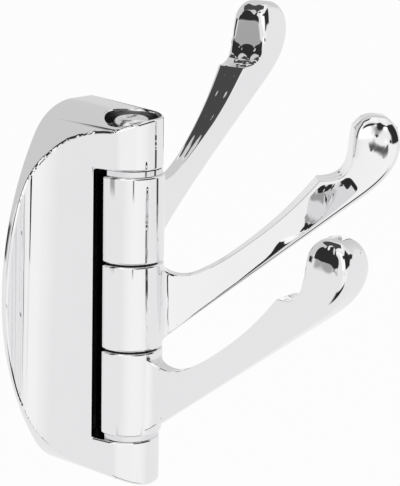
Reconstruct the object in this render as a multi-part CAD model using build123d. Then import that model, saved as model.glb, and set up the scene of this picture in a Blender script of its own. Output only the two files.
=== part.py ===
from build123d import *
import math
import os

# Towel hook with three arms that swing on one upright pivot, for a wall.
# Millimetres, +Z up. The wall is the plane Y = 0 and the hook stands out of it towards -Y.
# X = 0 is the pivot axis and Z = 0 the middle of the three knuckles.

# Housing, seen from the front: a D with its straight side on the right
wall_to_pivot = 24.2          # from the wall to the pivot axis
lug_radius = 8.8              # round front of the two lugs, and the flat right side
top_reach = 55.0              # from mid-height to the top of the housing
bottom_reach = 52.4           # from mid-height to the bottom of the housing
side_reach = 26.9             # from the pivot axis to the left edge
corner_radius = 17.0          # upper and lower left corners of the D
corner_start = 0.5            # where the flat top ends and the corner begins
right_corner_radius = 4.0     # lower right corner of the D

# Housing, seen from above: thin edge, hollow flare and a soft crest beside the lugs
edge_thickness = 2.2          # thin left edge of the shield at the wall
flare_start = -22.5           # where the shield leaves the thin edge
flare_points = ((-16.4, -5.0), (-12.9, -11.2))
crest = (-9.3, -26.8)
crest_blend = 50.0            # turn of the lug's round where the crest has run into it
crest_round = 1.5
slot_clearance = 1.9          # between the knuckles and the wall of their slot

# Knuckles and washers
knuckle_radius = 9.4
knuckle_pitch = 25.0
knuckle_gap = 0.5             # between two knuckles
end_gap = 1.6                 # between an outer knuckle and its lug
seat_clearance = 0.05         # on each face of a washer
end_washer_radius = 8.6
knuckle_washer_radius = 7.8

# Pivot screw
pivot_radius = 3.0
running_clearance = 0.06
head_radius = 5.3
head_height = 3.2
head_chamfer = 1.5
head_below_top = 2.2          # from the top of the housing down to the head
well_radius = 7.5             # well around the head
thread_length = 9.0           # in the lower lug
cross_width = 1.2
cross_length = 5.4
cross_depth = 1.6

# Arm, seen from its side: u runs out from the pivot axis, w up from the middle of the knuckle
blade_slope = 37.6            # of the straight lower edge
blade_low = (60.4, 28.8)      # a point on the lower edge
root_half = 11.3              # half height of the blade at the knuckle
upper_edge = ((7.5, 11.3), (10.2, 8.9), (15.2, 7.5), (25.3, 12.0), (38.0, 21.6), (47.3, 30.6))
tip = (51.8, 36.0)            # sharp outer end of the upper edge
seat_floor = (54.8, 35.9)     # bottom of the notch that a loop hangs in
seat_end = (57.4, 36.8)
seat_corner = (59.6, 38.3)
knob_reach = 67.3             # middle of the knob
knob_rise = 2.0               # its crown's middle, above the middle of the heel's bend
knob_radius = 6.75            # outer half and crown of the knob, and half its width
neck_drop = 4.6               # from the middle of the heel's bend down to the foot of the knob's neck
neck_corner_round = 3.2
crown_radius = 8.0            # of the knob's crown, across the arm
heel_radius = 12.0            # lower edge turning up into the knob
rib_start = 30.0              # where the lower edge begins to swell into a round rib

# Arm, seen from above: half thicknesses of the blade, of its end at the knob and of the rib's start
blade_half = 1.9
thin_until = 25.0             # from here the blade thickens towards the knob
end_half = 6.3
rib_half = 2.5
root_fillet = 3.4             # between blade and knuckle

# Where the arms stand at rest, turned from straight out of the wall towards +X
rest_turns = {"arm_top": 98.5, "arm_middle": 44.0, "arm_lower": 5.5}

# Wall plate, its screw holes and the set screw that locks the housing to it
plate_width = 13.0
plate_height = 84.0
plate_thickness = 2.5
plate_corner_radius = 3.0
plate_centre_x = -2.5
plate_clearance = 0.3
screw_head_room = 3.5         # in front of the plate, for the heads of the wall screws
plate_hole_radius = 2.3
plate_sink_radius = 3.9
plate_hole_spacing = 60.0
set_screw_radius = 2.0
set_screw_from_wall = 3.5     # its axis, so that it presses on the plate's lower edge
set_screw_recess = 0.8        # below the underside of the housing
hex_across = 2.0
hex_depth = 1.8

# Worked out from the sizes above
overcut = 5.0                 # how far a cutter reaches past the solid it cuts
knuckle_height = knuckle_pitch - knuckle_gap
slot_half = 1.5 * knuckle_pitch - knuckle_gap / 2 + end_gap
bore_radius = pivot_radius + running_clearance
slot_radius = knuckle_radius + slot_clearance
head_top = top_reach - head_below_top
head_seat = head_top - head_height
slope = math.radians(blade_slope)

# The heel's bend and the rib that leads to it, both measured along their middles
swing = heel_radius - knob_radius
heel_u = knob_reach - swing
heel_w = blade_low[1] + (heel_u - blade_low[0]) * math.tan(slope) + heel_radius / math.cos(slope)
edge_w = blade_low[1] + (rib_start - blade_low[0]) * math.tan(slope)
rib_foot = (rib_start - rib_half * math.sin(slope), edge_w + rib_half * math.cos(slope))
heel_away = math.dist(rib_foot, (heel_u, heel_w))
rib_angle = math.atan2(heel_w - rib_foot[1], heel_u - rib_foot[0]) - math.asin(swing / heel_away)
rib_length = math.sqrt(heel_away ** 2 - swing ** 2)
rib_head = (heel_u + swing * math.sin(rib_angle), heel_w - swing * math.cos(rib_angle))
knob_centre = (knob_reach, heel_w + knob_rise)
neck_foot = (knob_reach - knob_radius, heel_w - neck_drop)


def rod(radius, bottom, top, x=0.0, y=-wall_to_pivot):
    """An upright round rod between two heights, on the pivot axis unless told otherwise."""
    return Pos(x, y, (bottom + top) / 2) * Cylinder(radius, top - bottom)


def washer(radius, bottom, top):
    """A flat washer on the pivot screw, clear of what lies above and below it."""
    low = bottom + seat_clearance
    high = top - seat_clearance
    return rod(radius, low, high) - rod(bore_radius, low - overcut, high + overcut)


def left_arcs(reach):
    """One left quarter of the D: a corner arc that runs on into a long side arc."""
    span = corner_start + side_reach
    rise = reach - corner_radius
    side_radius = (span ** 2 + rise ** 2 - corner_radius ** 2) / (2 * (span - corner_radius))
    side_centre = side_radius - side_reach
    join = math.atan2(rise, corner_start - side_centre)
    corner_turn = (math.pi / 2 + join) / 2
    side_turn = (join + math.pi) / 2

    def on_corner(turn):
        return (corner_start + corner_radius * math.cos(turn), rise + corner_radius * math.sin(turn))

    def on_side(turn):
        return (side_centre + side_radius * math.cos(turn), side_radius * math.sin(turn))

    corner = [(corner_start, reach), on_corner(corner_turn), on_corner(join)]
    return corner + [on_side(side_turn), (-side_reach, 0)]


def d_outline():
    """The D seen from the front, on the plane of the wall."""
    upper = left_arcs(top_reach)
    lower = [(x, -z) for x, z in left_arcs(bottom_reach)]
    with BuildSketch(Plane.XZ) as made:
        with BuildLine():
            ThreePointArc(*upper[:3])
            ThreePointArc(*upper[2:])
            ThreePointArc(*lower[2:])
            ThreePointArc(*lower[:3])
            Polyline(lower[0], (lug_radius, -bottom_reach), (lug_radius, top_reach), upper[0])
        make_face()
        corner = made.vertices().sort_by_distance((lug_radius, -bottom_reach))[0]
        fillet(corner, right_corner_radius)
    return made.sketch


def on_lug(turn):
    """A point on the round of the lugs, turned from the left towards the front."""
    angle = math.radians(turn)
    return (-lug_radius * math.cos(angle), -wall_to_pivot - lug_radius * math.sin(angle))


def plan_outline():
    """The housing seen from above, from the thin edge to the flat right side."""
    left = -side_reach - overcut
    with BuildSketch() as made:
        with BuildLine():
            Polyline((lug_radius, -wall_to_pivot), (lug_radius, 0), (left, 0), (left, -edge_thickness),
                     (flare_start, -edge_thickness))
            # Three arcs, each running smoothly on from the one before
            foot = TangentArc((flare_start, -edge_thickness), flare_points[0], tangent=(1, 0))
            flare = TangentArc(foot @ 1, flare_points[1], tangent=foot % 1)
            TangentArc(flare @ 1, crest, tangent=flare % 1)
            Line(crest, on_lug(crest_blend))
            ThreePointArc(on_lug(crest_blend), on_lug(crest_blend / 2 + 90), on_lug(180))
        make_face()
        fillet(made.vertices().sort_by_distance(crest)[0], crest_round)
    return made.sketch


def make_body():
    """One casting: the D carried forward to the shield and the lugs, and hollowed for what it holds."""
    depth = wall_to_pivot + lug_radius + overcut
    height = top_reach + bottom_reach + 2 * overcut
    block = extrude(d_outline(), amount=depth)
    block = block & extrude(Pos(0, 0, -bottom_reach - overcut) * plan_outline(), amount=height)
    # Slot for the knuckles, and the holes for the pivot screw
    block -= rod(slot_radius, -slot_half, slot_half)
    block -= rod(pivot_radius, -slot_half - thread_length, 0)
    block -= rod(bore_radius, 0, top_reach)
    block -= rod(well_radius, head_seat, top_reach + overcut)
    # Pocket for the wall plate, deep enough for the heads of the wall screws
    pocket_depth = plate_thickness + screw_head_room
    pocket = Box(plate_width + 2 * plate_clearance, pocket_depth, plate_height + 2 * plate_clearance)
    block -= Pos(plate_centre_x, -pocket_depth / 2, 0) * pocket
    block -= rod(set_screw_radius, -bottom_reach - overcut, 0, plate_centre_x, -set_screw_from_wall)
    return block


def cutter_above_blade():
    """Everything above the arm's upper edge and its notch, up to the neck of its knob."""
    high = knob_centre[1] + 3 * knob_radius
    with BuildSketch(Plane.XZ) as made:
        with BuildLine():
            Spline(*upper_edge, tip)
            ThreePointArc(tip, seat_floor, seat_end)
            ThreePointArc(seat_end, seat_corner, neck_foot)
            Polyline(neck_foot, (neck_foot[0], high), (upper_edge[0][0], high), upper_edge[0])
        make_face()
    return extrude(made.sketch, amount=2 * knob_radius, both=True)


def arm_plan():
    """The blade from above: thin, with concave roots at the knuckle, and thicker towards the knob."""
    arc_u = math.sqrt((knuckle_radius + root_fillet) ** 2 - (blade_half + root_fillet) ** 2)
    share = knuckle_radius / (knuckle_radius + root_fillet)
    on_knuckle = (arc_u * share, (blade_half + root_fillet) * share)
    with BuildSketch() as made:
        with BuildLine():
            Polyline((0, 0), (0, on_knuckle[1]), on_knuckle)
            RadiusArc(on_knuckle, (arc_u, blade_half), root_fillet)
            Polyline((arc_u, blade_half), (thin_until, blade_half), (knob_centre[0], end_half),
                     (knob_centre[0], 0), (0, 0))
        make_face()
        mirror(about=Plane.XZ)
    return made.sketch


def make_blade():
    """The flat of the arm without its notch: side and plan outlines carried through each other."""
    foot = rib_start - (edge_w + root_half) / math.tan(slope)
    neck_w = neck_foot[1] + knob_radius / 2
    lower = [(0, -root_half), (foot, -root_half), (rib_start, edge_w), rib_foot, rib_head]
    upper = [(knob_centre[0], neck_w), (tip[0], neck_w), (upper_edge[0][0], root_half), (0, root_half)]
    side = make_face(Polyline(*lower, *upper, close=True))
    side = extrude(Plane.XZ * side, amount=knob_radius, both=True)
    return side & extrude(arm_plan(), amount=knob_centre[1], both=True)


def make_knob():
    """The crowned end of the arm, square towards the notch, and its heel that runs out as a rib."""
    # Column on the end of the heel, under a crown that is round both along and across the arm
    column = Box(knob_radius, 2 * knob_radius, 2 * knob_radius)
    column = fillet(column.edges().filter_by(Axis.Z).group_by(Axis.X)[0], neck_corner_round)
    column = Pos(-knob_radius / 2, 0, 0) * column + Cylinder(knob_radius, 2 * knob_radius)
    low = Pos(0, 0, -knob_radius / 2) * Box(4 * knob_radius, 4 * knob_radius, knob_radius)
    along = Rot(X=90) * Cylinder(knob_radius, 4 * knob_radius)
    across = Pos(0, 0, knob_radius - crown_radius) * Rot(Y=90) * Cylinder(crown_radius, 4 * knob_radius)
    knob = Pos(knob_centre[0], 0, knob_centre[1]) * (column & (low + along) & (low + across))
    wide = 4 * knob_radius
    knob -= Pos(knob_centre[0], 0, heel_w - wide / 2) * Box(wide, wide, wide)
    # The heel bends out from under the column, and runs on as a rib that thins out along the blade
    bend = Pos(swing, 0) * Circle(knob_radius) & Pos(wide / 2, 0) * Rectangle(wide, wide)
    turn = math.degrees(rib_angle)
    knob += Pos(heel_u, 0, heel_w) * revolve(bend, axis=Axis.Y, revolution_arc=90 - turn)
    rib = Pos(0, 0, rib_length / 2) * Cone(knob_radius, rib_half, rib_length)
    return knob + Pos(rib_head[0], 0, rib_head[1]) * Rot(Y=-90 - turn) * rib


def make_arm():
    """One arm, pointing along +X from an upright axis through its knuckle, which lies about Z = 0."""
    blade = make_blade() + make_knob() - cutter_above_blade()
    knuckle = Cylinder(knuckle_radius, knuckle_height)
    return blade + knuckle - Cylinder(bore_radius, knuckle_height + 2 * overcut)


def make_pivot_screw():
    """Shank through all three knuckles, and a round head with a cross recess."""
    shank = rod(pivot_radius, -slot_half - thread_length, head_seat + head_height / 2)
    head = rod(head_radius, head_seat, head_top)
    head = chamfer(head.edges().group_by(Axis.Z)[-1], head_chamfer)
    cross_at = Pos(0, -wall_to_pivot, head_top)
    cross = Box(cross_length, cross_width, 2 * cross_depth)
    cross += Rot(Z=90) * cross
    return shank + head - cross_at * cross


def make_wall_plate():
    """Flat plate behind the housing, with two countersunk holes."""
    plate = Box(plate_width, plate_thickness, plate_height)
    plate = fillet(plate.edges().filter_by(Axis.Y), plate_corner_radius)
    sink_depth = plate_sink_radius - plate_hole_radius
    sink = Cone(plate_hole_radius, plate_sink_radius, sink_depth)
    sink = Pos(0, 0, (plate_thickness - sink_depth) / 2) * sink
    hole = Rot(X=90) * (Cylinder(plate_hole_radius, 2 * plate_thickness) + sink)
    plate -= [Pos(0, 0, side * plate_hole_spacing / 2) * hole for side in (-1, 1)]
    return Pos(plate_centre_x, -plate_thickness / 2, 0) * plate


def make_set_screw():
    """Grub screw with a hexagon socket, from the underside of the housing up to the plate."""
    bottom = -bottom_reach + set_screw_recess
    top = -plate_height / 2 - seat_clearance
    screw = rod(set_screw_radius, bottom, top, plate_centre_x, -set_screw_from_wall)
    socket = extrude(RegularPolygon(hex_across / math.sqrt(3), 6), amount=hex_depth)
    return screw - Pos(plate_centre_x, -set_screw_from_wall, bottom) * socket


parts = {
    "body": make_body(),
    "pivot_screw": make_pivot_screw(),
    "wall_plate": make_wall_plate(),
    "set_screw": make_set_screw(),
}

arm = make_arm()
for step, (name, turn) in zip((1, 0, -1), rest_turns.items()):
    parts[name] = Pos(0, -wall_to_pivot, step * knuckle_pitch) * Rot(Z=turn - 90) * arm

stack = slot_half - end_gap
parts["end_washer_top"] = washer(end_washer_radius, stack, slot_half)
parts["end_washer_bottom"] = washer(end_washer_radius, -slot_half, -stack)
for name, step in (("knuckle_washer_upper", 0.5), ("knuckle_washer_lower", -0.5)):
    middle = step * knuckle_pitch
    parts[name] = washer(knuckle_washer_radius, middle - knuckle_gap / 2, middle + knuckle_gap / 2)

os.makedirs("parts", exist_ok=True)
for name, shape in parts.items():
    export_step(shape, f"parts/{name}.step")
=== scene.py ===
"""Looks of a chrome towel hook with three swinging arms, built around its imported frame."""

import math

import bmesh
import bpy
from mathutils import Matrix, Vector


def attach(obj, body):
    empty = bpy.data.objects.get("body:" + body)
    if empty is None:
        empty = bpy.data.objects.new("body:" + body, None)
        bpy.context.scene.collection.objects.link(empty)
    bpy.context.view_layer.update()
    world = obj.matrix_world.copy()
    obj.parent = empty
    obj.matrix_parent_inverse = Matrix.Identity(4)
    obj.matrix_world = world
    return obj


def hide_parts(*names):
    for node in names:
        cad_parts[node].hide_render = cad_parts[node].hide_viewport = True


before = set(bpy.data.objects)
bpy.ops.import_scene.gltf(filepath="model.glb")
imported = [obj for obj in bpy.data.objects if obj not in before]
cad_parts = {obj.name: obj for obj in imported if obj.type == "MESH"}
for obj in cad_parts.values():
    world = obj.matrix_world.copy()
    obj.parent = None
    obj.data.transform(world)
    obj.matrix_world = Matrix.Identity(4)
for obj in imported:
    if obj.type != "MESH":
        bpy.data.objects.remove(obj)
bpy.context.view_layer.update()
scene = bpy.context.scene

MM = 0.001
WALL_TO_PIVOT = 24.2 * MM
KNUCKLE_PITCH = 25.0 * MM

# Each arm's node, the body it rides on, the way it points at rest in degrees from straight out of the wall
# towards +X, and how many knuckles it sits above the middle one
ARMS = (
    ("arm_top", "top_swing", 98.5, 1),
    ("arm_middle", "middle_swing", 44.0, 0),
    ("arm_lower", "lower_swing", 5.5, -1),
)


# Camera

def place_camera():
    """The photograph's long lens, looking down a little from in front of the hook and its shield's side."""
    turn, rise, roll = math.radians(-49.04), math.radians(13.9), math.radians(1.21)
    distance = 0.5
    pixels = 1775.9  # focal length in pixels of the 400 by 486 picture
    back = Vector((math.sin(turn) * math.cos(rise), -math.cos(turn) * math.cos(rise), math.sin(rise)))
    right = Vector((math.cos(turn), math.sin(turn), 0.0))
    up = back.cross(right)
    across = right * math.cos(roll) + up * math.sin(roll)
    upright = up * math.cos(roll) - right * math.sin(roll)
    aim = Vector((0.0, -WALL_TO_PIVOT, 0.0))
    off_x = 129.93 - 200.0  # from the middle of the picture to the middle of the pivot axis
    off_y = 243.0 - 301.5
    shift = across * (off_x * distance / pixels) + upright * (off_y * distance / pixels)
    place = aim + back * distance - shift
    camera = bpy.data.objects.new("camera", bpy.data.cameras.new("camera"))
    camera.data.sensor_width = 36.0
    camera.data.lens = pixels * camera.data.sensor_width / 486.0
    camera.data.clip_start = 0.05
    camera.data.clip_end = 20.0
    turned = Matrix((across, upright, back)).transposed()
    camera.matrix_world = Matrix.Translation(place) @ turned.to_4x4()
    scene.collection.objects.link(camera)
    scene.camera = camera


# Materials

def new_material(name):
    """A material with its nodes, its links and its shader."""
    material = bpy.data.materials.new(name)
    material.use_nodes = True
    nodes, links = material.node_tree.nodes, material.node_tree.links
    return material, nodes, links, nodes["Principled BSDF"]


def chrome_surface_group():
    """Faint unevenness of buffed chrome: colour and roughness that drift, and a very shallow waviness."""
    group = bpy.data.node_groups.new("buffed_chrome", "ShaderNodeTree")
    face = group.interface
    for label, value in (("Cloud Scale", 60.0), ("Haze", 0.03), ("Waviness", 0.02)):
        face.new_socket(label, in_out="INPUT", socket_type="NodeSocketFloat").default_value = value
    base = face.new_socket("Base", in_out="INPUT", socket_type="NodeSocketColor")
    base.default_value = (0.8, 0.81, 0.82, 1)
    face.new_socket("Color", in_out="OUTPUT", socket_type="NodeSocketColor")
    face.new_socket("Roughness", in_out="OUTPUT", socket_type="NodeSocketFloat")
    face.new_socket("Normal", in_out="OUTPUT", socket_type="NodeSocketVector")
    nodes, links = group.nodes, group.links
    given = nodes.new("NodeGroupInput")
    out = nodes.new("NodeGroupOutput")
    place = nodes.new("ShaderNodeTexCoord")
    cloud = nodes.new("ShaderNodeTexNoise")
    cloud.inputs["Detail"].default_value = 3.0
    links.new(place.outputs["Object"], cloud.inputs["Vector"])
    links.new(given.outputs["Cloud Scale"], cloud.inputs["Scale"])
    haze = nodes.new("ShaderNodeMath")
    haze.operation = "MULTIPLY"
    links.new(cloud.outputs["Fac"], haze.inputs[0])
    links.new(given.outputs["Haze"], haze.inputs[1])
    links.new(haze.outputs[0], out.inputs["Roughness"])
    tint = nodes.new("ShaderNodeMix")
    tint.data_type = "RGBA"
    tint.blend_type = "MULTIPLY"
    tint.inputs[7].default_value = (0.965, 0.965, 0.97, 1)
    links.new(cloud.outputs["Fac"], tint.inputs[0])
    links.new(given.outputs["Base"], tint.inputs[6])
    links.new(tint.outputs[2], out.inputs["Color"])
    bump = nodes.new("ShaderNodeBump")
    bump.inputs["Distance"].default_value = 0.0002
    links.new(given.outputs["Waviness"], bump.inputs["Strength"])
    links.new(cloud.outputs["Fac"], bump.inputs["Height"])
    links.new(bump.outputs["Normal"], out.inputs["Normal"])
    return group


def plated(name, group, base, scale=60.0, haze=0.03):
    """Plated metal of one colour; the haze is its highest roughness."""
    material, nodes, links, shader = new_material(name)
    surface = nodes.new("ShaderNodeGroup")
    surface.node_tree = group
    surface.inputs["Base"].default_value = (*base, 1)
    surface.inputs["Cloud Scale"].default_value = scale
    surface.inputs["Haze"].default_value = haze
    shader.inputs["Metallic"].default_value = 1.0
    links.new(surface.outputs["Color"], shader.inputs["Base Color"])
    links.new(surface.outputs["Roughness"], shader.inputs["Roughness"])
    links.new(surface.outputs["Normal"], shader.inputs["Normal"])
    return material


def around_pivot_group():
    """Mask of a cylinder around the upright pivot axis, between two heights."""
    group = bpy.data.node_groups.new("around_pivot", "ShaderNodeTree")
    face = group.interface
    for label in ("Radius", "Low", "High"):
        face.new_socket(label, in_out="INPUT", socket_type="NodeSocketFloat")
    face.new_socket("Mask", in_out="OUTPUT", socket_type="NodeSocketFloat")
    nodes, links = group.nodes, group.links
    given, out = nodes.new("NodeGroupInput"), nodes.new("NodeGroupOutput")
    place = nodes.new("ShaderNodeTexCoord")
    split = nodes.new("ShaderNodeSeparateXYZ")
    links.new(place.outputs["Object"], split.inputs[0])
    flat = nodes.new("ShaderNodeCombineXYZ")
    links.new(split.outputs["X"], flat.inputs["X"])
    links.new(split.outputs["Y"], flat.inputs["Y"])
    away = nodes.new("ShaderNodeVectorMath")
    away.operation = "DISTANCE"
    away.inputs[1].default_value = (0, -WALL_TO_PIVOT, 0)
    links.new(flat.outputs[0], away.inputs[0])
    tests = (("LESS_THAN", away.outputs["Value"], "Radius"), ("GREATER_THAN", split.outputs["Z"], "Low"),
             ("LESS_THAN", split.outputs["Z"], "High"))
    within = None
    for operation, value, label in tests:
        test = nodes.new("ShaderNodeMath")
        test.operation = operation
        links.new(value, test.inputs[0])
        links.new(given.outputs[label], test.inputs[1])
        if within is None:
            within = test.outputs[0]
            continue
        both = nodes.new("ShaderNodeMath")
        both.operation = "MULTIPLY"
        links.new(within, both.inputs[0])
        links.new(test.outputs[0], both.inputs[1])
        within = both.outputs[0]
    links.new(within, out.inputs["Mask"])
    return group


def painted_shade_inside(material, group, radius, low, high, tone, rougher):
    """Painted shade in a hollow around the pivot: its colour darkened there, and the plating rougher where
    buffing doesn't reach.
    """
    nodes, links = material.node_tree.nodes, material.node_tree.links
    shader = nodes["Principled BSDF"]
    hollow = nodes.new("ShaderNodeGroup")
    hollow.node_tree = group
    hollow.inputs["Radius"].default_value = radius * MM
    hollow.inputs["Low"].default_value = low * MM
    hollow.inputs["High"].default_value = high * MM
    # painted shade: inside the hollow the colour is mixed towards a dark tone
    shade = nodes.new("ShaderNodeMix")
    shade.data_type = "RGBA"
    links.new(hollow.outputs["Mask"], shade.inputs[0])
    links.new(shader.inputs["Base Color"].links[0].from_socket, shade.inputs[6])
    shade.inputs[7].default_value = (tone, tone, tone, 1)
    links.new(shade.outputs[2], shader.inputs["Base Color"])
    rough = nodes.new("ShaderNodeMath")
    rough.operation = "MULTIPLY_ADD"
    links.new(hollow.outputs["Mask"], rough.inputs[0])
    rough.inputs[1].default_value = rougher
    links.new(shader.inputs["Roughness"].links[0].from_socket, rough.inputs[2])
    links.new(rough.outputs[0], shader.inputs["Roughness"])


def moulded(name, dark, light):
    """Matt plastic that drifts a little between two tones, with a faint grain."""
    material, nodes, links, shader = new_material(name)
    place = nodes.new("ShaderNodeTexCoord")
    grain = nodes.new("ShaderNodeTexNoise")
    grain.inputs["Scale"].default_value = 900.0
    links.new(place.outputs["Object"], grain.inputs["Vector"])
    tone = nodes.new("ShaderNodeMix")
    tone.data_type = "RGBA"
    tone.inputs[6].default_value = (*dark, 1)
    tone.inputs[7].default_value = (*light, 1)
    links.new(grain.outputs["Fac"], tone.inputs[0])
    links.new(tone.outputs[2], shader.inputs["Base Color"])
    rough = nodes.new("ShaderNodeMapRange")
    rough.inputs["To Min"].default_value = 0.4
    rough.inputs["To Max"].default_value = 0.6
    links.new(grain.outputs["Fac"], rough.inputs["Value"])
    links.new(rough.outputs["Result"], shader.inputs["Roughness"])
    return material


def lay_floor():
    """A wide pale floor well below the hook, white to the camera but for the faint shadow on it."""
    material, nodes, links, shader = new_material("pale_floor")
    shader.inputs["Roughness"].default_value = 0.9
    shader.inputs["Base Color"].default_value = (0.9, 0.9, 0.9, 1)
    glow = nodes.new("ShaderNodeEmission")
    glow.inputs["Color"].default_value = (1, 1, 1, 1)
    rays = nodes.new("ShaderNodeLightPath")
    share = nodes.new("ShaderNodeMath")
    share.operation = "MULTIPLY"
    share.inputs[1].default_value = 0.95
    links.new(rays.outputs["Is Camera Ray"], share.inputs[0])
    blend = nodes.new("ShaderNodeMixShader")
    links.new(share.outputs[0], blend.inputs[0])
    links.new(shader.outputs[0], blend.inputs[1])
    links.new(glow.outputs[0], blend.inputs[2])
    links.new(blend.outputs[0], nodes["Material Output"].inputs["Surface"])
    shape = bmesh.new()
    bmesh.ops.create_grid(shape, x_segments=1, y_segments=1, size=4.0)
    mesh = bpy.data.meshes.new("floor")
    shape.to_mesh(mesh)
    shape.free()
    mesh.materials.append(material)
    floor = bpy.data.objects.new("floor", mesh)
    floor.location.z = -0.35
    floor.visible_glossy = False
    scene.collection.objects.link(floor)


# Pieces

def add_piece(name, mesh, material, slot, body, *nodes):
    """A finished mesh as a piece that rides on a body and stands for its CAD nodes."""
    piece = bpy.data.objects.new(name, mesh)
    scene.collection.objects.link(piece)
    mesh.materials.clear()
    mesh.materials.append(material)
    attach(piece, body)
    if nodes:
        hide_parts(*nodes)
    return piece


def smooth_by_angle(mesh, degrees):
    """Smooth shading everywhere but on edges sharper than the angle."""
    shape = bmesh.new()
    shape.from_mesh(mesh)
    limit = math.radians(degrees)
    for face in shape.faces:
        face.smooth = True
    for edge in shape.edges:
        edge.smooth = len(edge.link_faces) == 2 and edge.calc_face_angle(0.0) < limit
    shape.to_mesh(mesh)
    shape.free()


def polished_copy(node, degrees=28.0):
    """The CAD node's shape as one connected mesh, shaded smooth between its real edges."""
    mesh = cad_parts[node].data.copy()
    shape = bmesh.new()
    shape.from_mesh(mesh)
    bmesh.ops.remove_doubles(shape, verts=shape.verts[:], dist=0.002 * MM)
    shape.to_mesh(mesh)
    shape.free()
    smooth_by_angle(mesh, degrees)
    return mesh


# Housing, in millimetres: a D seen from the front, and a flared shield seen from above

TOP_REACH = 55.0
BOTTOM_REACH = 52.4
SIDE_REACH = 26.9
CORNER_RADIUS = 17.0
LUG_RADIUS = 8.8
PIVOT_Y = -24.2
SLOT_RADIUS, SLOT_HALF_HEIGHT = 11.3, 38.9
WELL_RADIUS, WELL_FLOOR = 7.5, 49.6
RIM = 0.65
DRAFT = 0.06  # fall of the upper side towards the front
THINNER, THICKER = 0.6, 0.7  # flare at 60 mm below and above mid-height, against the one at mid-height


def arc(x, y, radius, start, end, steps):
    """Points on an arc, with its angles in degrees."""
    turns = [math.radians(start + (end - start) * n / steps) for n in range(steps + 1)]
    return [(x + radius * math.cos(t), y + radius * math.sin(t)) for t in turns]


def d_outline():
    """The D from the upper end of its straight top, round its left side, to its upper right corner."""
    halves = []
    for reach in (TOP_REACH, BOTTOM_REACH):
        rise = reach - CORNER_RADIUS
        radius = (27.4 ** 2 + rise ** 2 - CORNER_RADIUS ** 2) / 20.8
        join = math.degrees(math.atan2(rise, 27.4 - radius))
        side = arc(radius - SIDE_REACH, 0, radius, join, 180, 24)
        halves.append(arc(0.5, rise, CORNER_RADIUS, 90, join, 20) + side[1:])
    lower = [(x, -z) for x, z in reversed(halves[1])]
    right_corner = arc(LUG_RADIUS - 4, -48.4, 4.0, -90, 0, 10)
    return halves[0] + lower[1:] + right_corner + [(LUG_RADIUS, TOP_REACH)]


def tangent_arc(start, end, heading, steps):
    """An arc from a point to another that sets off in a heading, and the heading it arrives with."""
    chord = math.atan2(end[1] - start[1], end[0] - start[0])
    turn = chord - heading
    radius = math.dist(start, end) / (2 * math.sin(turn))
    x, y = start[0] - radius * math.sin(heading), start[1] + radius * math.cos(heading)
    first = math.degrees(math.atan2(start[1] - y, start[0] - x))
    return arc(x, y, abs(radius), first, first + math.degrees(2 * turn), steps), chord + turn


def shield_plan():
    """The housing seen from above, with room beyond its wall side and its flat right side."""
    foot, heading = tangent_arc((-22.5, -2.2), (-16.4, -5.0), 0.0, 12)
    flare, heading = tangent_arc((-16.4, -5.0), (-12.9, -11.2), heading, 8)
    rise, heading = tangent_arc((-12.9, -11.2), (-9.3, -26.8), heading, 8)
    lug = arc(0, PIVOT_Y, LUG_RADIUS, 230, 360, 40)
    corner, before, after = Vector(rise[-1]), Vector(rise[-2]), Vector(lug[0])
    start = corner + (before - corner).normalized() * 1.6
    end = corner + (after - corner).normalized() * 1.6
    shares = [n / 10 for n in range(11)]
    bend = [tuple(start * (1 - t) ** 2 + corner * 2 * t * (1 - t) + end * t ** 2) for t in shares]
    return [(12, PIVOT_Y), (12, 5), (-32, 5), (-32, -2.2)] + foot + flare[1:] + rise[1:-1] + bend + lug


def solid(name, near, far):
    """A closed solid between two outlines with equally many corners, as an object that isn't rendered."""
    shape = bmesh.new()
    loops = [[shape.verts.new(Vector(corner) * MM) for corner in outline] for outline in (near, far)]
    for outline in loops:
        shape.faces.new(outline)
    first, second = loops
    for n in range(len(near)):
        shape.faces.new((first[n - 1], first[n], second[n], second[n - 1]))
    bmesh.ops.recalc_face_normals(shape, faces=shape.faces[:])
    mesh = bpy.data.meshes.new(name)
    shape.to_mesh(mesh)
    shape.free()
    made = bpy.data.objects.new(name, mesh)
    scene.collection.objects.link(made)
    return made


def upright(name, outline, low, high):
    """A straight upright solid between two heights, from its outline seen from above."""
    return solid(name, [(x, y, low) for x, y in outline], [(x, y, high) for x, y in outline])


def shield_block():
    """The plan carried upwards, with the flare growing thicker on the way."""
    low, high = [], []
    for x, y in shield_plan():
        part = min(max((-9.3 - x) / 8, 0), 1) if y < 0 else 0
        share = part * part * (3 - 2 * part)
        low.append((x, y * (1 - THINNER * share), -60))
        high.append((x, y * (1 + THICKER * share), 60))
    return solid("plan", low, high)


def drafted_block(depth=38.0):
    """The D carried forward, and drawn in on the way, but for its flat right side."""
    outline = d_outline()
    front = []
    for n, (x, z) in enumerate(outline):
        before, after = Vector(outline[n - 1]), Vector(outline[(n + 1) % len(outline)])
        along = (after - before).normalized()
        outward = Vector((along.y, -along.x))
        if n == len(outline) - 1:
            outward = Vector((0, 1))
        if z < 0:
            outward = Vector((0, 0))  # the lower half stays straight
        front.append((x - min(outward.x, 0) * DRAFT * depth, -depth, z - outward.y * DRAFT * depth))
    return solid("block", [(x, 0, z) for x, z in outline], front)


def baked(thing):
    """The object's mesh with its modifiers applied; the object itself goes."""
    depsgraph = bpy.context.evaluated_depsgraph_get()
    mesh = bpy.data.meshes.new_from_object(thing.evaluated_get(depsgraph))
    bpy.data.objects.remove(thing)
    return mesh


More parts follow.
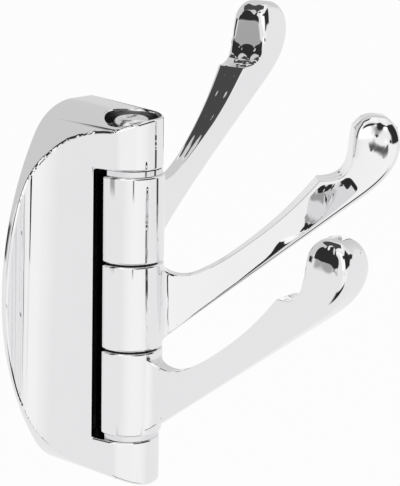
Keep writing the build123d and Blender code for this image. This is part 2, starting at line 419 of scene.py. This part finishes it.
def housing_mesh():
    """The casting with its slot, well and pocket, and rims that are softly rounded by polishing."""
    block = drafted_block()
    slot = arc(0, PIVOT_Y, SLOT_RADIUS, 0, 357.5, 143)
    well = arc(0, PIVOT_Y, WELL_RADIUS, 0, 357, 119)
    pocket = ((-9.3, 1.0), (4.3, 1.0), (4.3, -6.0), (-9.3, -6.0))
    grub_hole = arc(-2.5, -3.5, 2.0, 0, 350, 35)
    tools = (
        ("INTERSECT", shield_block()),
        ("DIFFERENCE", upright("slot", slot, -SLOT_HALF_HEIGHT, SLOT_HALF_HEIGHT)),
        ("DIFFERENCE", upright("well", well, WELL_FLOOR, 60)),
        ("DIFFERENCE", upright("pocket", pocket, -42.3, 42.3)),
        ("DIFFERENCE", upright("grub_hole", grub_hole, -60, -40)),
    )
    for operation, tool in tools:
        cut = block.modifiers.new(tool.name, "BOOLEAN")
        cut.operation = operation
        cut.solver = "EXACT"
        cut.object = tool
    mesh = baked(block)
    for _, tool in tools:
        bpy.data.objects.remove(tool)
    shape = bmesh.new()
    shape.from_mesh(mesh)
    bmesh.ops.remove_doubles(shape, verts=shape.verts[:], dist=0.02 * MM)
    sharp = math.radians(32)
    rims = [e for e in shape.edges if len(e.link_faces) == 2 and e.calc_face_angle(0.0) > sharp]
    bmesh.ops.bevel(shape, geom=rims, offset=RIM * MM, offset_type="OFFSET", affect="EDGES", segments=3,
                    profile=0.5, material=-1, clamp_overlap=False)
    for vert in shape.verts:
        vert.co.x = max(vert.co.x, -SIDE_REACH * MM)
    for face in shape.faces:
        face.smooth = True
    shape.to_mesh(mesh)
    shape.free()
    casting = bpy.data.objects.new("casting", mesh)
    scene.collection.objects.link(casting)
    casting.modifiers.new("weighted", "WEIGHTED_NORMAL").keep_sharp = True
    return baked(casting)


# Pivot screw, in millimetres

def turned(outline, steps):
    """A closed solid turned about the pivot axis from an outline of (radius, height)."""
    shape = bmesh.new()
    verts = [shape.verts.new((r * MM, -WALL_TO_PIVOT, z * MM)) for r, z in outline]
    edges = [shape.edges.new(pair) for pair in zip(verts, verts[1:])]
    bmesh.ops.spin(shape, geom=verts + edges, cent=(0, -WALL_TO_PIVOT, 0), axis=(0, 0, 1), angle=math.tau,
                   steps=steps, use_merge=True)
    bmesh.ops.remove_doubles(shape, verts=shape.verts[:], dist=0.001 * MM)
    bmesh.ops.recalc_face_normals(shape, faces=shape.faces[:])
    mesh = bpy.data.meshes.new("turned")
    shape.to_mesh(mesh)
    shape.free()
    made = bpy.data.objects.new("turned", mesh)
    scene.collection.objects.link(made)
    return made


def cross(half_length, half_width, height):
    """The corners of a cross recess at one height, around the pivot axis."""
    corners = []
    for quarter in range(4):
        turn = Matrix.Rotation(math.radians(90 * quarter + 20), 2)
        for x, y in ((half_width, half_width), (half_width, half_length), (-half_width, half_length)):
            x, y = turn @ Vector((x, y))
            corners.append((x, y + PIVOT_Y, height))
    return corners


def screw_mesh():
    """The pivot screw: a long shank under a low domed head with a tapered cross recess."""
    shank = [(0, -47.9), (3.0, -47.9), (3.0, WELL_FLOOR)]
    head = [(5.3, WELL_FLOOR)] + arc(3.1, 50.6, 2.2, 0, 90, 10) + [(0, 52.8)]
    screw = turned(shank + head, 96)
    recess = solid("recess", cross(1.5, 0.5, 50.9), cross(3.0, 0.75, 53.2))
    cut = screw.modifiers.new("recess", "BOOLEAN")
    cut.operation = "DIFFERENCE"
    cut.solver = "EXACT"
    cut.object = recess
    mesh = baked(screw)
    bpy.data.objects.remove(recess)
    smooth_by_angle(mesh, 30)
    return mesh


# Arm, in millimetres and drawn side on: u out from the pivot, w up from the middle of its knuckle.
# Each station has its lower point, its upper point, the half thickness at both,
# how far the rounding of the lower rim reaches in, and how crisp the upper edges are.
STATIONS = (
    ((6.5, -11.3), (6.5, 11.3), 5.6, 5.6, 1.2, 0.9),
    ((8.5, -11.2), (8.2, 11.2), 4.0, 4.1, 1.2, 0.9),
    ((9.5, -10.35), (9.2, 10.1), 2.75, 2.9, 1.2, 0.9),
    ((10.9, -9.3), (10.6, 8.95), 2.05, 2.1, 1.2, 0.9),
    ((12.9, -7.8), (13.0, 8.05), 1.9, 1.9, 1.2, 0.9),
    ((17.5, -4.2), (16.5, 7.75), 1.9, 1.9, 1.3, 0.9),
    ((23.0, 0.0), (20.5, 9.4), 1.9, 1.9, 1.4, 0.9),
    ((30.0, 5.4), (26.0, 12.4), 2.3, 2.0, 1.6, 0.9),
    ((38.0, 11.55), (32.5, 17.2), 3.05, 2.5, 2.0, 0.9),
    ((45.0, 16.95), (39.0, 22.45), 3.75, 3.1, 2.4, 0.9),
    ((51.0, 21.56), (45.0, 28.1), 4.5, 3.8, 2.9, 0.9),
    ((54.5, 24.26), (49.5, 33.2), 4.9, 4.3, 3.2, 0.9),
    ((57.0, 26.2), (51.8, 36.0), 5.2, 4.6, 3.4, 0.9),
    ((59.5, 28.1), (54.9, 36.1), 5.5, 5.0, 3.6, 0.9),
    ((62.2, 30.2), (58.2, 37.1), 5.8, 5.4, 3.8, 0.9),
    ((65.6, 32.8), (60.2, 40.4), 6.2, 5.7, 4.0, 0.85),
    ((69.4, 36.2), (60.5, 44.0), 6.5, 6.0, 4.2, 0.5),
    ((72.4, 40.4), (60.6, 47.5), 6.7, 6.3, 4.2, 0.2),
    ((74.2, 45.8), (61.0, 51.0), 6.6, 5.9, 4.2, 0.0),
    ((73.2, 51.0), (63.4, 53.6), 5.6, 4.6, 3.6, 0.0),
    ((70.2, 53.9), (66.2, 54.4), 3.2, 3.0, 1.4, 0.0),
)


# The four columns of a section's corners, as shares of its half thickness
COLUMNS = (-1.0, -0.42, 0.42, 1.0)
# How crisp the edge across the blade is at its sharp tip and at the corner of the notch, by station
CROSSING = {12: 0.8, 15: 0.2}


def arm_mesh(turn, step):
    """One cast arm: a section of three by three faces is carried along the stations, then subdivided."""
    shape = bmesh.new()
    crease = shape.edges.layers.float.new("crease_edge")
    bmesh.ops.create_grid(shape, x_segments=3, y_segments=3, size=1.0)
    spot = {v: (0, round(v.co.x * 1.5 + 1.5), round(v.co.y * 1.5 + 1.5)) for v in shape.verts}

    def settle(verts, number):
        """Set a section's corners on its station."""
        (low_u, low_w), (top_u, top_w), low_half, top_half, rim, _ = STATIONS[number]
        inset = min(rim / math.hypot(top_u - low_u, top_w - low_w), 0.45)
        shares = (0.0, inset, 0.5 + 0.3 * inset, 1.0)
        for vert in verts:
            share = shares[spot[vert][2]]
            half = low_half + (top_half - low_half) * share
            u, w = low_u + (top_u - low_u) * share, low_w + (top_w - low_w) * share
            vert.co = Vector((u, COLUMNS[spot[vert][1]] * half, w)) * MM

    settle(shape.verts[:], 0)
    faces = shape.faces[:]
    for number in range(1, len(STATIONS)):
        before = {v for f in faces for v in f.verts}
        out = bmesh.ops.extrude_face_region(shape, geom=faces)["geom"]
        if number > 1:
            bmesh.ops.delete(shape, geom=faces, context="FACES_ONLY")
        faces = [f for f in out if isinstance(f, bmesh.types.BMFace)]
        fresh = [v for v in out if isinstance(v, bmesh.types.BMVert)]
        for vert in fresh:
            near = min(before, key=lambda old: (old.co - vert.co).length_squared)
            spot[vert] = (number, *spot[near][1:])
        settle(fresh, number)
    for edge in shape.edges:
        (one, across, along), (two, other_across, other_along) = (spot[v] for v in edge.verts)
        edge[crease] = 0.0
        if across == other_across and across in (0, 3) and along == other_along == 3:
            edge[crease] = min(STATIONS[one][5], STATIONS[two][5])
        if one == two and along == other_along == 3:
            edge[crease] = CROSSING.get(one, 0.0)
    bmesh.ops.recalc_face_normals(shape, faces=shape.faces[:])
    mesh = bpy.data.meshes.new("arm")
    shape.to_mesh(mesh)
    shape.free()
    cage = bpy.data.objects.new("arm_cage", mesh)
    scene.collection.objects.link(cage)
    rounded = cage.modifiers.new("rounded", "SUBSURF")
    rounded.levels = rounded.render_levels = 3
    finished = baked(cage)
    whole = bmesh.new()
    whole.from_mesh(finished)
    add_knuckle(whole)
    place = Matrix.Translation((0, -WALL_TO_PIVOT, step * KNUCKLE_PITCH))
    swing = Matrix.Rotation(math.radians(turn - 90), 4, "Z")
    bmesh.ops.transform(whole, matrix=place @ swing, verts=whole.verts[:])
    whole.to_mesh(finished)
    whole.free()
    smooth_by_angle(finished, 35.0)
    return finished


def add_knuckle(shape):
    """The barrel around the pivot, with small rounded rims and an open bore."""
    rim = arc(8.8, 11.65, 0.6, 0, 90, 5)
    bore = [(3.06, 12.25), (3.06, -12.25)]
    outline = [(r, -w) for r, w in rim[::-1]] + rim + bore
    verts = [shape.verts.new((r * MM, 0, w * MM)) for r, w in outline]
    edges = [shape.edges.new((a, b)) for a, b in zip(verts, verts[1:] + verts[:1])]
    bmesh.ops.spin(shape, geom=verts + edges, cent=(0, 0, 0), axis=(0, 0, 1), angle=math.tau, steps=128,
                   use_merge=True)
    bmesh.ops.recalc_face_normals(shape, faces=shape.faces[:])


# Surroundings. Directions are (turn from straight out of the wall towards +X, rise), in degrees.

def towards(turn, rise):
    """The direction as a vector of length one."""
    turn, rise = math.radians(turn), math.radians(rise)
    return Vector((math.sin(turn) * math.cos(rise), -math.cos(turn) * math.cos(rise), math.sin(rise)))


def card_group():
    """Mask of a rectangular card or lamp far away, seen in a direction, with soft edges."""
    group = bpy.data.node_groups.new("far_card", "ShaderNodeTree")
    face = group.interface
    for label in ("Direction", "Facing", "Sideways", "Upwards"):
        face.new_socket(label, in_out="INPUT", socket_type="NodeSocketVector")
    for label, value in (("Half Width", 0.3), ("Half Height", 0.3), ("Softness", 0.1)):
        face.new_socket(label, in_out="INPUT", socket_type="NodeSocketFloat").default_value = value
    face.new_socket("Mask", in_out="OUTPUT", socket_type="NodeSocketFloat")
    nodes, links = group.nodes, group.links
    given, out = nodes.new("NodeGroupInput"), nodes.new("NodeGroupOutput")

    def math_node(operation, first, second=None):
        node = nodes.new("ShaderNodeMath")
        node.operation = operation
        for socket, value in zip(node.inputs, (first, second)):
            if hasattr(value, "is_linked"):
                links.new(value, socket)
            elif value is not None:
                socket.default_value = value
        return node.outputs[0]

    def along(label):
        node = nodes.new("ShaderNodeVectorMath")
        node.operation = "DOT_PRODUCT"
        links.new(given.outputs["Direction"], node.inputs[0])
        links.new(given.outputs[label], node.inputs[1])
        return node.outputs["Value"]

    ahead = math_node("MAXIMUM", along("Facing"), 0.001)
    reach = []
    for label, size in (("Sideways", "Half Width"), ("Upwards", "Half Height")):
        aside = math_node("DIVIDE", math_node("ABSOLUTE", along(label)), ahead)
        reach.append(math_node("DIVIDE", aside, given.outputs[size]))
    farthest = math_node("MAXIMUM", reach[0], reach[1])
    edge = nodes.new("ShaderNodeMapRange")
    edge.interpolation_type = "SMOOTHSTEP"
    links.new(farthest, edge.inputs["Value"])
    softness = given.outputs["Softness"]
    links.new(math_node("SUBTRACT", 1.0, softness), edge.inputs["From Min"])
    links.new(math_node("ADD", 1.0, softness), edge.inputs["From Max"])
    edge.inputs["To Min"].default_value = 1.0
    edge.inputs["To Max"].default_value = 0.0
    links.new(edge.outputs["Result"], out.inputs["Mask"])
    return group


# Turn, rise, half width, half height, softness and brightness of each card around the hook;
# a later card stands in front of the ones before it
CARDS = (
    (150.0, 40.0, 60.0, 30.0, 0.5, 0.68),
    (-142.0, 27.0, 14.0, 24.0, 0.1, 0.68),
    (-113.0, -1.0, 9.0, 6.0, 0.3, 0.42),
    (-141.0, 2.0, 12.0, 5.0, 0.3, 0.04),
    (-50.0, 89.0, 22.0, 22.0, 0.4, 1.05),
    (-25.0, -15.0, 36.0, 30.0, 0.9, 1.02),
    (-62.0, 30.0, 22.0, 24.0, 0.2, 1.25),
    (-155.0, 71.0, 12.5, 18.5, 0.06, 0.07),
    (-114.0, 32.0, 11.5, 27.0, 0.06, 0.03),
    (-30.0, 46.0, 30.0, 7.0, 0.3, 0.05),
    (8.0, 31.0, 36.0, 26.0, 0.1, 0.03),
    (-39.0, -4.0, 2.0, 3.0, 0.7, 0.12),
    (-44.0, -45.0, 36.0, 8.0, 0.3, 0.02),
)


# Name, place in metres and power of each lamp
LAMPS = (("key_lamp", (-0.9, -0.9, 0.9), 3.0), ("fill_lamp", (0.9, -0.8, 0.5), 1.5))


def studio():
    """A pale surround that the chrome mirrors, with darker and brighter cards in it, and two soft lamps."""
    world = bpy.data.worlds.new("studio")
    scene.world = world
    world.use_nodes = True
    nodes, links = world.node_tree.nodes, world.node_tree.links
    background = nodes["Background"]
    looking = nodes.new("ShaderNodeTexCoord").outputs["Generated"]
    group = card_group()
    level = nodes.new("ShaderNodeRGB").outputs[0]
    level.default_value = (0.9, 0.9, 0.905, 1)
    for turn, rise, width, height, softness, brightness in CARDS:
        facing = towards(turn, rise)
        sideways = towards(turn + 90, 0)
        card = nodes.new("ShaderNodeGroup")
        card.node_tree = group
        links.new(looking, card.inputs["Direction"])
        card.inputs["Facing"].default_value = facing
        card.inputs["Sideways"].default_value = sideways
        card.inputs["Upwards"].default_value = facing.cross(sideways)
        card.inputs["Half Width"].default_value = math.tan(math.radians(width))
        card.inputs["Half Height"].default_value = math.tan(math.radians(height))
        card.inputs["Softness"].default_value = softness
        blend = nodes.new("ShaderNodeMix")
        blend.data_type = "RGBA"
        links.new(card.outputs["Mask"], blend.inputs[0])
        links.new(level, blend.inputs[6])
        blend.inputs[7].default_value = (brightness, brightness, brightness, 1)
        level = blend.outputs[2]
    rays = nodes.new("ShaderNodeLightPath")
    seen = nodes.new("ShaderNodeMix")
    seen.data_type = "RGBA"
    links.new(rays.outputs["Is Camera Ray"], seen.inputs[0])
    links.new(level, seen.inputs[6])
    seen.inputs[7].default_value = (1, 1, 1, 1)
    links.new(seen.outputs[2], background.inputs["Color"])
    for name, place, power in LAMPS:
        light = bpy.data.lights.new(name, "AREA")
        light.size = 0.5
        light.energy = power
        lamp = bpy.data.objects.new(name, light)
        lamp.location = place
        lamp.rotation_euler = (-Vector(place)).to_track_quat("-Z", "Y").to_euler()
        lamp.visible_glossy = False
        scene.collection.objects.link(lamp)


place_camera()
studio()
lay_floor()
buffed = chrome_surface_group()
chrome = plated("polished_chrome", buffed, (0.88, 0.88, 0.885))
housing_chrome = plated("housing_chrome", buffed, (0.88, 0.88, 0.885))
around_pivot = around_pivot_group()
# painted shade: the inside of the slot is darkened to near black and the inside of the well to dark grey,
# and both are also made rougher
painted_shade_inside(housing_chrome, around_pivot, SLOT_RADIUS + 0.05, -38.8, 38.8, 0.03, 0.5)
painted_shade_inside(housing_chrome, around_pivot, WELL_RADIUS + 0.05, 48.0, 53.0, 0.2, 0.3)
bright_steel = plated("bright_steel", buffed, (0.8, 0.8, 0.81), haze=0.1)
zinc = plated("zinc_plate", buffed, (0.6, 0.61, 0.62), haze=0.5)
satin_steel = plated("satin_steel", buffed, (0.84, 0.84, 0.845), scale=200.0, haze=0.5)
nylon = moulded("dark_nylon", (0.02, 0.02, 0.022), (0.035, 0.035, 0.038))

add_piece("housing", housing_mesh(), housing_chrome, "chrome", "housing", "body")
add_piece("cross_head_screw", screw_mesh(), satin_steel, "chrome_steel", "housing", "pivot_screw")
for node in ("end_washer_top", "end_washer_bottom"):
    add_piece(node + "_ring", polished_copy(node), bright_steel, "chrome_steel", "housing", node)
for node in ("knuckle_washer_upper", "knuckle_washer_lower"):
    add_piece(node + "_ring", polished_copy(node), nylon, "nylon", "housing", node)
for node in ("wall_plate", "set_screw"):
    add_piece(node + "_piece", polished_copy(node), zinc, "zinc_steel", "housing", node)
for arm, body, turn, step in ARMS:
    add_piece(arm + "_casting", arm_mesh(turn, step), chrome, "chrome", body, arm)

scene.view_settings.view_transform = "Standard"
